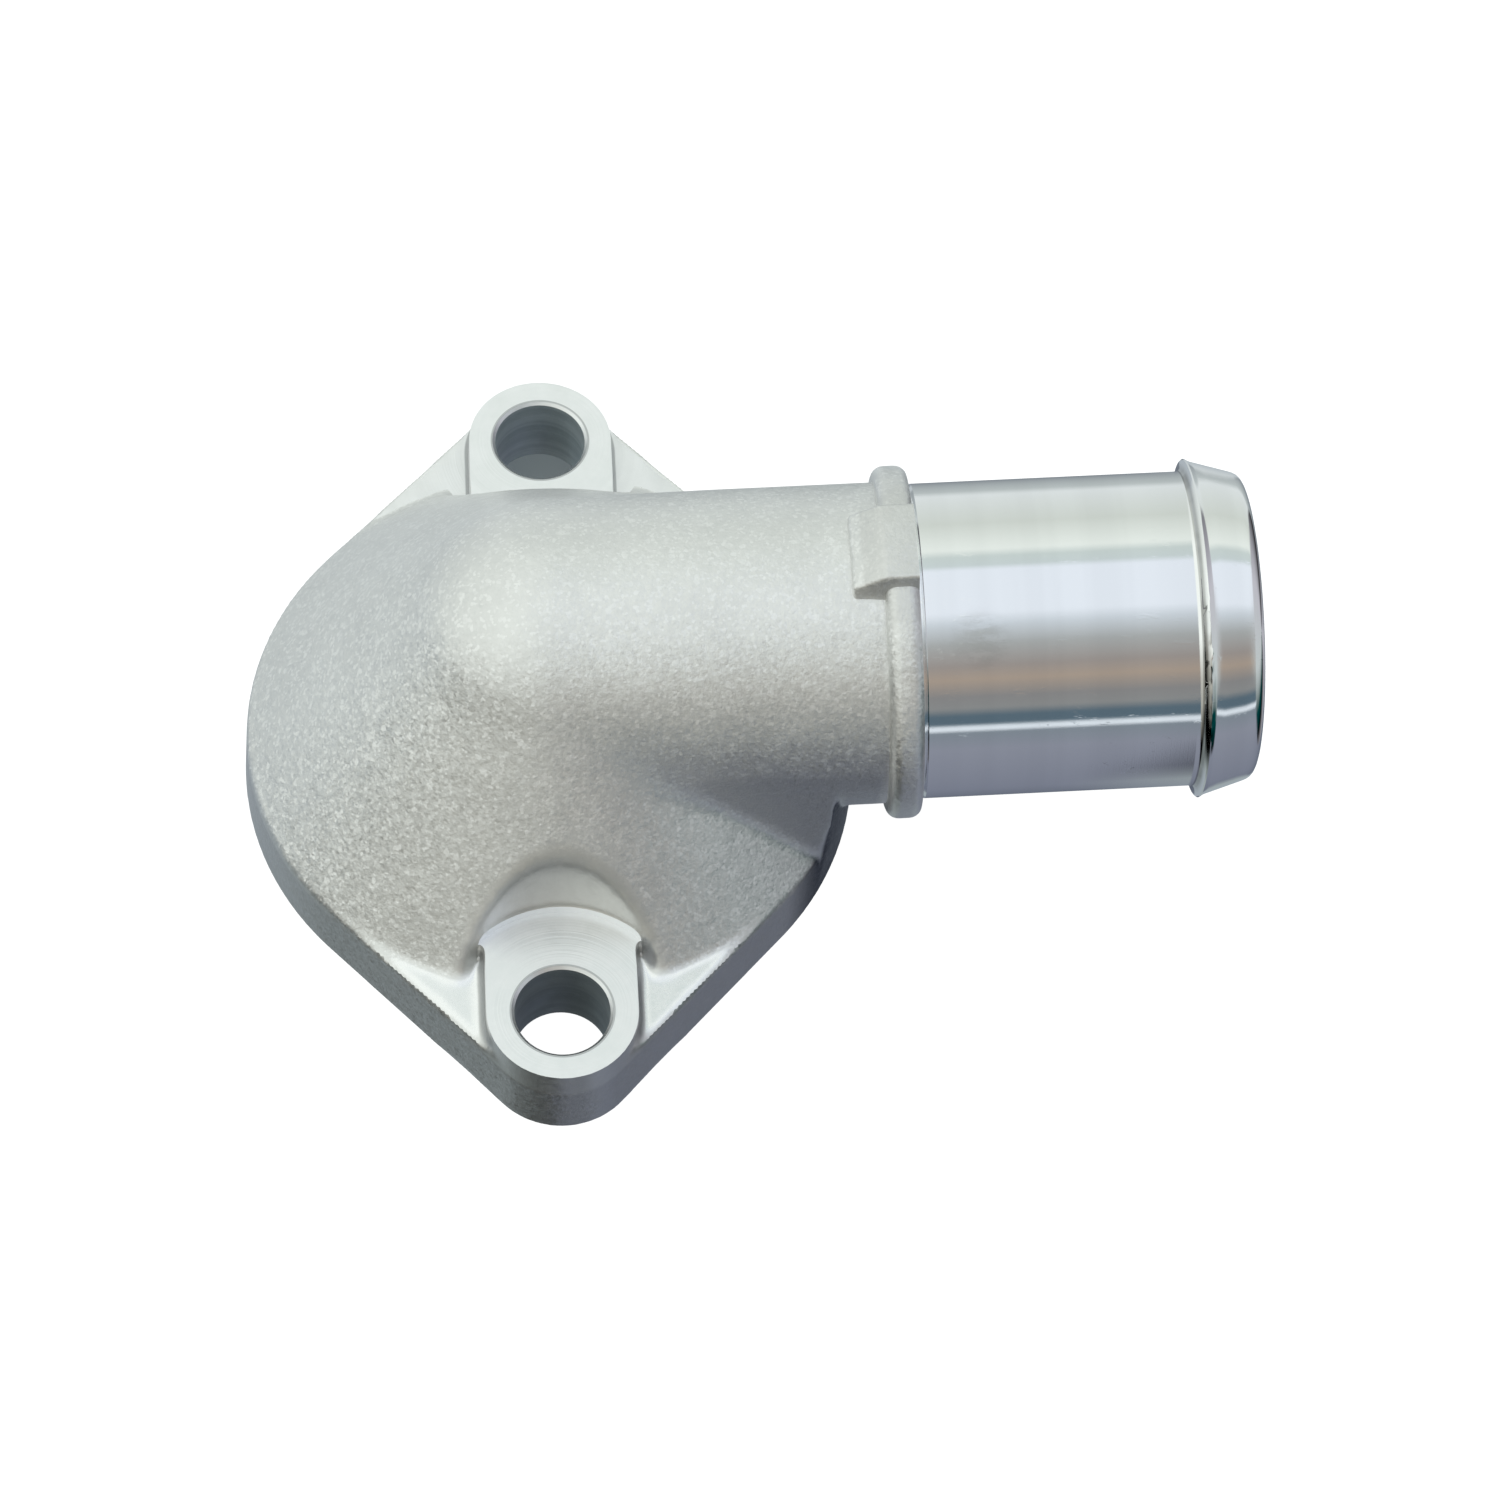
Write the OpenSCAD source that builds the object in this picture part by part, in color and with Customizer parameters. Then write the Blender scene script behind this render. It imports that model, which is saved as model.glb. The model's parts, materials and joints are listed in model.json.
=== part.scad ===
// Coolant outlet housing: a cast dome on a two-bolt flange, with a hose spigot turned on its side outlet.
// The mounting face is the plane z = 0, the dome rises along +Z and the spigot points along +X.
// All sizes are in millimetres.

/* [Flange] */
// Distance between the two bolt hole centres
bolt_spacing = 65; // [62:0.5:70]
// Diameter of the bolt holes, clearance for 8 mm bolts
bolt_hole_d = 9; // [8:0.1:10]
// Bevel at the top mouth of each bolt hole
hole_bevel = 0.4; // [0.2:0.1:0.8]
// Radius of the round middle of the flange at the mounting face
flange_r = 29.8; // [28.5:0.1:31]
// Radius of the ear around each bolt hole at the mounting face
ear_r = 7.6; // [7:0.1:9]
// Thickness of the flange plate
flange_t = 6.6; // [5.5:0.1:7.5]
// Height of the machined bolt seats above the mounting face
seat_h = 8.8; // [8.2:0.1:10]
// Lean of the cast walls that lets the part leave its mould
draft = 3; // [1:0.5:4]

/* [Dome] */
// Height at which the outlet axis crosses the dome axis
axis_h = 19; // [18.5:0.1:21]
// Flat land on the flange rim around the foot of the skirt
rim_land = 0.1; // [0.05:0.05:0.5]
// Angle at which the skirt meets the round elbow head
skirt_crease = 7; // [4:0.5:15]
// How far the elbow head stands proud of the outlet tube
head_proud = 0.1; // [0.05:0.05:0.3]
// Wall of the dome
dome_wall = 4; // [3:0.1:5]
// Radius of the clearance scoop for a bolt head and its socket
scoop_r = 10.4; // [9.5:0.1:11]
// Lean of the scoop wall
scoop_lean = 5; // [2:0.5:10]
// Radius of the blend in the valley between tube and skirt
blend_r = 4; // [3:0.25:5]

/* [Thermostat seat] */
// Diameter of the recess that takes the thermostat rim
seat_recess_d = 50; // [47:0.5:51]
// Depth of that recess
seat_recess_t = 3; // [2:0.1:4]
// Diameter of the throat above the recess
throat_d = 45; // [42:0.5:46]

/* [Outlet] */
// Tilt of the outlet away from the mounting plane
outlet_tilt = 3; // [0:0.5:5]
// Outer radius of the cast outlet tube
tube_r = 15.3; // [14.8:0.1:16]
// Bore of the outlet
bore_d = 23; // [21:0.5:25]
// Distance along the outlet from the dome axis to the collar
collar_x = 31; // [30:0.1:36]
// Length of the collar
collar_w = 3.2; // [2.6:0.1:6]
// Outer radius of the collar
collar_r = 16.8; // [16.4:0.1:18]
// Rounding of the collar's edges
collar_round = 1.2; // [0.6:0.1:1.6]
// Half width of the stop lug on top of the collar
lug_half_w = 4.2; // [3:0.1:6]
// Height of the lug's flat top above the outlet axis
lug_h = 17.5; // [17.2:0.1:19]
// Length of the lug's sloped heel on the tube
lug_heel = 2.5; // [1.5:0.1:4]

/* [Hose spigot] */
// Diameter of the turned spigot, the inner diameter of the hose
spigot_d = 30; // [28.5:0.1:30.5]
// Length from the collar to the barb's lip
spigot_l = 26.5; // [20:0.1:34]
// Height of the barb's sharp lip over the spigot
lip_h = 1.15; // [0.6:0.05:1.4]
// Length of the steep face up to the lip
lip_face = 0.35; // [0.2:0.05:0.6]
// Length of the hollow behind the lip
hollow_l = 1.3; // [0.8:0.1:2]
// Height of the barb's band over the spigot
band_h = 0.45; // [0.2:0.05:0.6]
// Length of the nose from the hollow to the end face
nose_l = 4.3; // [3.6:0.1:8]
// Rounding of the nose's outer edge
nose_round = 3; // [1:0.1:3.4]
// Bevel at the mouth of the bore
mouth_bevel = 0.5; // [0.3:0.1:0.9]

/* [Hidden] */

$fn = 96;
// Overlap of cuts past the faces that they open
past = 1;
// How far the flange's straight sides lie inside the tangents of its round ends
tuck = 0.03;
// Steps of a small rounded edge
edge_steps = 5;

hole_y = bolt_spacing / 2;
foot_r = flange_r - flange_t * tan(draft);
skirt_foot_r = foot_r - rim_land;
head_r = tube_r + head_proud;
bore_r = bore_d / 2;
throat_r = throat_d / 2;
spigot_r = spigot_d / 2;

// The skirt is a cone that leaves the flange rim and grazes the elbow head
axis_rise = axis_h - flange_t;
graze = head_r * cos(skirt_crease);
skirt_slope = atan2(axis_rise, skirt_foot_r) + asin(graze / norm([skirt_foot_r, axis_rise]));
skirt_top = [graze * sin(skirt_slope), axis_h + graze * cos(skirt_slope)];

// The chamber follows the skirt one wall further in
chamber_graze = graze - dome_wall;
chamber_top = [chamber_graze * sin(skirt_slope), axis_h + chamber_graze * cos(skirt_slope)];
throat_top = chamber_top[1] - (throat_r - chamber_top[0]) * tan(skirt_slope);

// Stations along the outlet
face_x = collar_x + collar_w;
lip_x = face_x + spigot_l;
end_x = lip_x + hollow_l + nose_l;
band_r = spigot_r + band_h;
// The nose keeps a narrow end face outside the bore's bevel
nose_r = min(nose_round, band_r - bore_r - mouth_bevel - band_h);

// The blend is swept by a ball that rolls in the valley, touching tube and skirt
ball_reach = tube_r + blend_r;
ball_foot = skirt_foot_r + blend_r / sin(skirt_slope);
ball_start = asin((ball_foot - axis_rise / tan(skirt_slope)) * sin(skirt_slope) / ball_reach) - skirt_slope;
// Angle that the ball skips at the top, where tube and skirt are all but tangent
blend_skip = 6;
// Lowest angle of the ball below the outlet axis
blend_end = -46;
// Sections along the blend, and steps across it
blend_sections = 18;
blend_steps = 6;
// How far the blend's edges dip under the tube and the skirt
blend_dip = 0.08;
// How far the blend's back reaches past the crease that it fills
blend_back = 0.6;

function unit(v) = v / norm(v);
function arc(c, r, from, to) =
    [for (i = [0 : edge_steps]) let (a = from + (to - from) * i / edge_steps) c + r * [cos(a), sin(a)]];

// Centre of the rolling ball at angle t around the outlet axis, one ball from both the tube and the skirt
function ball(t) =
    let (y = ball_reach * cos(t), w = ball_reach * sin(t))
    let (rise = sin(outlet_tilt) / tan(skirt_slope), lean = w * sin(outlet_tilt))
    let (rho = ball_foot - (axis_rise + w * cos(outlet_tilt)) / tan(skirt_slope))
    let (a = pow(cos(outlet_tilt), 2) - rise * rise, b = rho * rise - lean * cos(outlet_tilt))
    let (s = (sqrt(max(0, b * b - a * (lean * lean + y * y - rho * rho))) - b) / a)
    [s * cos(outlet_tilt) - lean, y, axis_h + s * sin(outlet_tilt) + w * cos(outlet_tilt)];

// One section of the blend: from the tube round to the skirt, then behind the crease
function blend_section(t) =
    let (c = ball(t))
    let (to_tube = [sin(t) * sin(outlet_tilt), -cos(t), -sin(t) * cos(outlet_tilt)])
    let (out = unit([c[0], c[1]]))
    let (to_skirt = [-out[0] * sin(skirt_slope), -out[1] * sin(skirt_slope), -cos(skirt_slope)])
    let (middle = unit(to_tube + to_skirt))
    let (back = blend_r / (middle * to_tube) + blend_back)
    concat(
        [c + (blend_r + blend_dip) * to_tube],
        [for (i = [1 : blend_steps - 1])
            c + blend_r * unit(to_tube * (1 - i / blend_steps) + to_skirt * i / blend_steps)],
        [c + (blend_r + blend_dip) * to_skirt],
        [c + back * middle]);

// Solid between sections that share one point count
module loft(sections) {
    n = len(sections[0]);
    last = len(sections) - 1;
    points = [for (s = sections) for (p = s) p];
    sides = [for (i = [0 : last - 1]) for (k = [0 : n - 1])
        let (a = i * n + k, b = i * n + (k + 1) % n)
        each [[a, b, b + n], [a, b + n, a + n]]];
    start_cap = [[for (k = [n - 1 : -1 : 0]) k]];
    end_cap = [[for (k = [0 : n - 1]) last * n + k]];
    polyhedron(points, concat(sides, start_cap, end_cap), convexity = 4);
}

// Places things drawn along +X from the origin on the tilted outlet axis
module on_outlet() {
    translate([0, 0, axis_h]) rotate([0, -outlet_tilt, 0]) children();
}

// Turns a profile of [radius, station] points about the outlet axis
module turned(profile) {
    on_outlet() rotate([0, 90, 0]) rotate_extrude() polygon(profile);
}

// Does the same thing at each of the two ears
module at_ears() {
    for (side = [0, 180]) rotate(side) translate([0, hole_y, 0]) children();
}

// Flat plate between the round middle and one ear, with sides that lean as the walls do
module flange_web() {
    swing = asin((flange_r - ear_r) / hole_y);
    function side(s, r, y, z) = [s * r * cos(swing), y + r * sin(swing), z];
    function corners(lean, z) =
        let (mid = flange_r - lean - tuck, tip = ear_r - lean - tuck)
        [side(-1, mid, 0, z), side(-1, tip, hole_y, z), side(1, tip, hole_y, z), side(1, mid, 0, z)];
    loft([corners(0, 0), corners(flange_t * tan(draft), flange_t)]);
}

// Raised bolt seat that runs from the ear into the dome
module bolt_seat() {
    lean = seat_h * tan(draft);
    cylinder(h = seat_h, r1 = ear_r, r2 = ear_r - lean);
    half = ear_r - tuck;
    rotate([90, 0, 0])
        linear_extrude(scoop_r + dome_wall / 2)
            polygon([[-half, 0], [half, 0], [half - lean, seat_h], [lean - half, seat_h]]);
}

module flange() {
    cylinder(h = flange_t, r1 = flange_r, r2 = foot_r);
    for (side = [0, 180]) rotate(side) flange_web();
    at_ears() bolt_seat();
}

// Clearance for a bolt head and its socket, grown by a wall where the chamber has to stay clear of it
module scoop(grow, from) {
    translate([0, 0, from])
        cylinder(h = axis_h, r1 = scoop_r + grow, r2 = scoop_r + grow + axis_h * tan(scoop_lean));
}

module skirt() {
    rotate_extrude()
        polygon([[0, flange_t / 2], [skirt_foot_r, flange_t / 2], [skirt_foot_r, flange_t],
            skirt_top, [0, skirt_top[1]]]);
}

// Fills the valley beside the tube and stops at the flange rim
module valley_blend() {
    top = ball_start - blend_skip;
    sections = [for (i = [0 : blend_sections])
        blend_section(top + (blend_end - top) * i / blend_sections)];
    intersection() {
        loft(sections);
        cylinder(h = axis_h * 2, r = skirt_foot_r);
    }
}

module elbow() {
    translate([0, 0, axis_h]) sphere(head_r);
    on_outlet() rotate([0, 90, 0]) cylinder(h = collar_x + collar_w / 2, r = tube_r);
    valley_blend();
    mirror([0, 1, 0]) valley_blend();
}

module dome() {
    difference() {
        union() {
            skirt();
            elbow();
        }
        at_ears() scoop(0, flange_t - past);
    }
}

module collar_and_spigot() {
    rim = collar_r - collar_round;
    turned(concat(
        [[0, collar_x]],
        arc([rim, collar_x + collar_round], collar_round, 270, 360),
        arc([rim, face_x - collar_round], collar_round, 0, 90),
        [[spigot_r, face_x], [spigot_r, lip_x - lip_face], [spigot_r + lip_h, lip_x]],
        [[band_r, lip_x + hollow_l]],
        arc([band_r - nose_r, end_x - nose_r], nose_r, 0, 90),
        [[0, end_x]]));
}

// Flat-topped stop lug on the collar, with a sloped heel on the tube
module lug() {
    heel_top = collar_x + tuck;
    on_outlet() translate([0, lug_half_w, 0]) rotate([90, 0, 0])
        linear_extrude(2 * lug_half_w)
            polygon([[heel_top - lug_heel, bore_r + past], [heel_top - lug_heel, tube_r - past / 2],
                [heel_top, lug_h], [face_x - tuck, lug_h], [face_x - tuck, bore_r + past]]);
}

module chamber() {
    difference() {
        rotate_extrude()
            polygon([[0, -past], [throat_r, -past], [throat_r, throat_top], chamber_top, [0, chamber_top[1]]]);
        at_ears() scoop(dome_wall, -2 * past);
    }
    translate([0, 0, axis_h]) sphere(bore_r + head_proud);
    turned([[0, 0], [bore_r, 0], [bore_r, end_x - mouth_bevel],
        [bore_r + mouth_bevel + past, end_x + past], [0, end_x + past]]);
    translate([0, 0, -past]) cylinder(h = seat_recess_t + past, d = seat_recess_d);
}

module bolt_hole() {
    translate([0, 0, -past]) cylinder(h = seat_h + 2 * past, d = bolt_hole_d);
    translate([0, 0, seat_h - hole_bevel])
        cylinder(h = hole_bevel + past, r1 = bolt_hole_d / 2, r2 = bolt_hole_d / 2 + hole_bevel + past);
}

module housing() {
    color([0.8, 0.81, 0.81]) difference() {
        union() {
            flange();
            dome();
            collar_and_spigot();
            lug();
        }
        chamber();
        at_ears() bolt_hole();
    }
}

housing();
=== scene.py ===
"""Looks of a cast aluminium coolant outlet housing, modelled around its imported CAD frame.

The casting is modelled in millimetres from overlapping forms, fused and softened as a casting is, then
machined with cutters that leave their own finish on the faces they cut, and scaled to metres at the end.
"""

import json
import logging
import math
from collections.abc import Callable, Iterator, Sequence
from contextlib import contextmanager
from dataclasses import dataclass, field
from enum import Enum
from functools import reduce

import bpy
import numpy as np
from mathutils import Matrix, Vector

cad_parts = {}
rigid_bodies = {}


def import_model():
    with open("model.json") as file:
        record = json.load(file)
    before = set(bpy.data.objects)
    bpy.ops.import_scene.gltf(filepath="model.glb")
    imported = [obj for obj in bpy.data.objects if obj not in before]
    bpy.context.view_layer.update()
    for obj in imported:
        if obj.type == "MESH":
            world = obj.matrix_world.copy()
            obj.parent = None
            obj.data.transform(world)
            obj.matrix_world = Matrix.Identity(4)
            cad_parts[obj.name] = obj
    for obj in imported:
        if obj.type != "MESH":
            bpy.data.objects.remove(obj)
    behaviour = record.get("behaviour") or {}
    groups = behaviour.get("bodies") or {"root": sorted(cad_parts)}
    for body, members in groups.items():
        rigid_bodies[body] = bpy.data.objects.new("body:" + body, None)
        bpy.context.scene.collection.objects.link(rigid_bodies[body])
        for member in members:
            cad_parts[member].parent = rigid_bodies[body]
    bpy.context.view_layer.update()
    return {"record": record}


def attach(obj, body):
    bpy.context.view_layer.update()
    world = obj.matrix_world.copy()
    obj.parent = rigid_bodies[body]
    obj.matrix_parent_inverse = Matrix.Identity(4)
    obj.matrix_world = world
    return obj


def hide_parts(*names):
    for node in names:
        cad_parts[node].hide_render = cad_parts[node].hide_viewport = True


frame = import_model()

log = logging.getLogger("housing")

METRES_PER_MM = 0.001
ROUND = 128
SIDES = (-1, 1)
SIZES = {mount["name"]: mount["dims"] for mount in frame["record"]["mounts"]}
HOLE_Y = SIZES["bolt_holes"]["spacing_y_mm"] / 2
OUTLET_HEIGHT = 19.0
OUTLET_TILT = math.radians(3)
BODY = "root"
NODE = "housing"

Point = tuple[float, float]
Triple = tuple[float, float, float]
Colour = tuple[float, float, float]
Solid = bpy.types.Object
Socket = bpy.types.NodeSocket


class Cut(Enum):
    """What a Boolean step does with its tool."""

    REMOVE = "DIFFERENCE"
    ADD = "UNION"
    KEEP = "INTERSECT"


class Picked(Enum):
    """Which kind of mesh element edit mode works on."""

    VERTICES = (True, False, False)
    EDGES = (False, True, False)
    FACES = (False, False, True)


# Modelling helpers


def select_only(obj: Solid) -> None:
    """Selects one object alone and makes it the active one.

    Args:
        obj: The object.
    """
    for other in bpy.context.view_layer.objects:
        other.select_set(False)
    obj.select_set(True)
    bpy.context.view_layer.objects.active = obj


def newest(name: str) -> Solid:
    """Names the object that an operator has just added.

    Args:
        name: The name of the object and its mesh.

    Returns:
        The object.
    """
    obj = bpy.context.object
    obj.name = name
    obj.data.name = name
    return obj


@contextmanager
def editing(obj: Solid, picked: Picked = Picked.VERTICES,
            wanted: Callable[[Vector], bool] | None = None) -> Iterator[None]:
    """Edits one object's mesh, with the elements selected that are worked on.

    Args:
        obj: The mesh object to edit.
        picked: The kind of element that selections are made of.
        wanted: What pick asks; without it all elements are selected.

    Returns:
        A context in which the mesh is in edit mode.
    """
    if wanted:
        pick(obj, picked, wanted)
    select_only(obj)
    bpy.context.tool_settings.mesh_select_mode = picked.value
    bpy.ops.object.mode_set(mode="EDIT")
    if not wanted:
        bpy.ops.mesh.select_all(action="SELECT")
    try:
        yield
    finally:
        bpy.ops.object.mode_set(mode="OBJECT")


def pick(obj: Solid, picked: Picked, wanted: Callable[[Vector], bool]) -> None:
    """Selects the elements of a mesh by where they lie, in object mode.

    Args:
        obj: The mesh object.
        picked: The kind of element to select.
        wanted: Says of a vertex, of both ends of an edge or of a face's centre whether it is selected.
    """
    mesh = obj.data
    for group in (mesh.vertices, mesh.edges, mesh.polygons):
        group.foreach_set("select", [False] * len(group))
    if picked is Picked.VERTICES:
        chosen = [v for v in mesh.vertices if wanted(v.co)]
    elif picked is Picked.EDGES:
        ends = mesh.vertices
        chosen = [e for e in mesh.edges if all(wanted(ends[i].co) for i in e.vertices)]
    else:
        chosen = [p for p in mesh.polygons if wanted(p.center)]
    for element in chosen:
        element.select = True


def settle(obj: Solid) -> Solid:
    """Puts an object's place, turn and scale into its mesh.

    Args:
        obj: The object.

    Returns:
        The same object.
    """
    select_only(obj)
    bpy.ops.object.transform_apply(location=True, rotation=True, scale=True)
    return obj


def joined(name: str, parts: Sequence[Solid]) -> Solid:
    """Joins several objects into one without fusing their shells.

    Args:
        name: The name of the result.
        parts: The objects to join; the first one stays.

    Returns:
        The joined object.
    """
    select_only(parts[0])
    for part in parts[1:]:
        part.select_set(True)
    bpy.ops.object.join()
    return newest(name)


def modify(obj: Solid, kind: str, **settings: object) -> None:
    """Adds a modifier and applies it at once.

    Args:
        obj: The object to change.
        kind: Blender's name for the modifier type.
        settings: The modifier's own settings.
    """
    select_only(obj)
    modifier = obj.modifiers.new(kind.title(), kind)
    for key, value in settings.items():
        setattr(modifier, key, value)
    bpy.ops.object.modifier_apply(modifier=modifier.name)


def carve(obj: Solid, tool: Solid, cut: Cut = Cut.REMOVE) -> None:
    """Cuts, adds or keeps a tool's volume; the new faces keep the tool's finish. The tool is used up.

    Args:
        obj: The object to work on.
        tool: A closed mesh.
        cut: What to do with the tool's volume.
    """
    modify(obj, "BOOLEAN", operation=cut.value, solver="EXACT", object=tool, material_mode="TRANSFER")
    bpy.data.objects.remove(tool)


def repair(obj: Solid, gap: float = 0.004) -> None:
    """Merges doubles, clears slivers and turns all faces outwards.

    Args:
        obj: The object to clean.
        gap: Distance under which two vertices are one, in the mesh's own unit.
    """
    with editing(obj):
        bpy.ops.mesh.remove_doubles(threshold=gap)
        bpy.ops.mesh.dissolve_degenerate(threshold=gap)
        bpy.ops.mesh.delete_loose()
        bpy.ops.mesh.select_all(action="DESELECT")
        bpy.ops.mesh.select_non_manifold()
        bpy.ops.mesh.remove_doubles(threshold=10 * gap, use_unselected=True)
        bpy.ops.mesh.select_all(action="DESELECT")
        bpy.ops.mesh.select_non_manifold()
        bpy.ops.mesh.fill_holes(sides=12)
        bpy.ops.mesh.select_all(action="SELECT")
        bpy.ops.mesh.normals_make_consistent(inside=False)


def hull_of(name: str, parts: Sequence[Solid]) -> Solid:
    """Joins parts and wraps them in one convex skin.

    Args:
        name: The name of the result.
        parts: The objects to wrap.

    Returns:
        The convex object.
    """
    obj = joined(name, parts)
    with editing(obj):
        bpy.ops.mesh.convex_hull()
    return obj


def cone(name: str, low_r: float, high_r: float, z0: float, z1: float,
         at: Point = (0, 0)) -> Solid:
    """Adds a round frustum that stands on end.

    Args:
        name: The object's name.
        low_r: Radius at its lower end.
        high_r: Radius at its upper end.
        z0: Height of the lower end.
        z1: Height of the upper end.
        at: Place of its axis.

    Returns:
        The new object, with its place in its mesh.
    """
    bpy.ops.mesh.primitive_cone_add(
        vertices=ROUND, radius1=low_r, radius2=high_r, depth=z1 - z0, location=(*at, (z0 + z1) / 2)
    )
    return settle(newest(name))


def block(name: str, low: Triple, high: Triple) -> Solid:
    """Adds a box between two opposite corners.

    Args:
        name: The object's name.
        low: The corner with the smallest coordinates.
        high: The corner with the largest ones.

    Returns:
        The new object, with its place and size in its mesh.
    """
    bpy.ops.mesh.primitive_cube_add(size=1, location=[(a + b) / 2 for a, b in zip(low, high)])
    obj = newest(name)
    obj.scale = [b - a for a, b in zip(low, high)]
    return settle(obj)


def ball(name: str, radius: float, height: float) -> Solid:
    """Adds a ball above the origin."""
    bpy.ops.mesh.primitive_uv_sphere_add(segments=96, ring_count=48, radius=radius, location=(0, 0, height))
    return settle(newest(name))


def lathe(name: str, profile: Sequence[Point], steps: int = ROUND) -> Solid:
    """Turns a profile about the X axis: one vertex is extruded along it, then spun.

    Args:
        name: The object's name.
        profile: (station, radius) points that start and end on the axis.
        steps: Steps of the spin.

    Returns:
        A closed turned object.
    """
    bpy.ops.mesh.primitive_plane_add(size=1)
    obj = newest(name)
    with editing(obj):
        bpy.ops.mesh.merge(type="CENTER")
        bpy.ops.transform.translate(value=(profile[0][0], 0, profile[0][1]))
        for (x0, r0), (x1, r1) in zip(profile, profile[1:]):
            bpy.ops.mesh.extrude_vertices_move(TRANSFORM_OT_translate={"value": (x1 - x0, 0, r1 - r0)})
        bpy.ops.mesh.select_all(action="SELECT")
        bpy.ops.mesh.spin(steps=steps, angle=2 * math.pi, center=(0, 0, 0), axis=(1, 0, 0))
    repair(obj)
    return obj


def arc(centre: Point, radius: float, start: float, end: float, steps: int = 6) -> list[Point]:
    """Points of a rounded corner in a profile.

    Args:
        centre: Centre of the rounding.
        radius: Its radius.
        start: First angle in degrees, from +X towards the radius direction.
        end: Last angle in degrees.
        steps: Number of segments.

    Returns:
        The points from start to end.
    """
    turns = [math.radians(start + (end - start) * i / steps) for i in range(steps + 1)]
    return [(centre[0] + radius * math.cos(t), centre[1] + radius * math.sin(t)) for t in turns]


def coordinates(obj: Solid) -> np.ndarray:
    """Reads a mesh's vertices.

    Args:
        obj: The mesh object.

    Returns:
        Rows of x, y, z.
    """
    flat = np.empty(len(obj.data.vertices) * 3)
    obj.data.vertices.foreach_get("co", flat)
    return flat.reshape(-1, 3)


def soften(obj: Solid, weights: np.ndarray, rounds: int) -> None:
    """Smooths part of a mesh, as blasting and mould wear round a casting's corners.

    Args:
        obj: The object to smooth.
        weights: Strength from 0 to 1 for each vertex.
        rounds: Number of smoothing passes.
    """
    steps = 20
    group = obj.vertex_groups.new(name="soft")
    levels = np.round(weights * steps).astype(int)
    for level in range(1, steps + 1):
        members = np.flatnonzero(levels == level)
        if len(members):
            group.add(members.tolist(), level / steps, "REPLACE")
    modify(obj, "SMOOTH", factor=0.5, iterations=rounds, vertex_group="soft")
    obj.vertex_groups.clear()


def near(reach: float, *gaps: np.ndarray) -> np.ndarray:
    """Weight that fades from 1 where surfaces meet to 0 at a reach from any of them."""
    return np.clip(1.6 * (1 - np.max(np.abs(gaps), axis=0) / reach), 0, 1)


# Shader helpers


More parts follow.
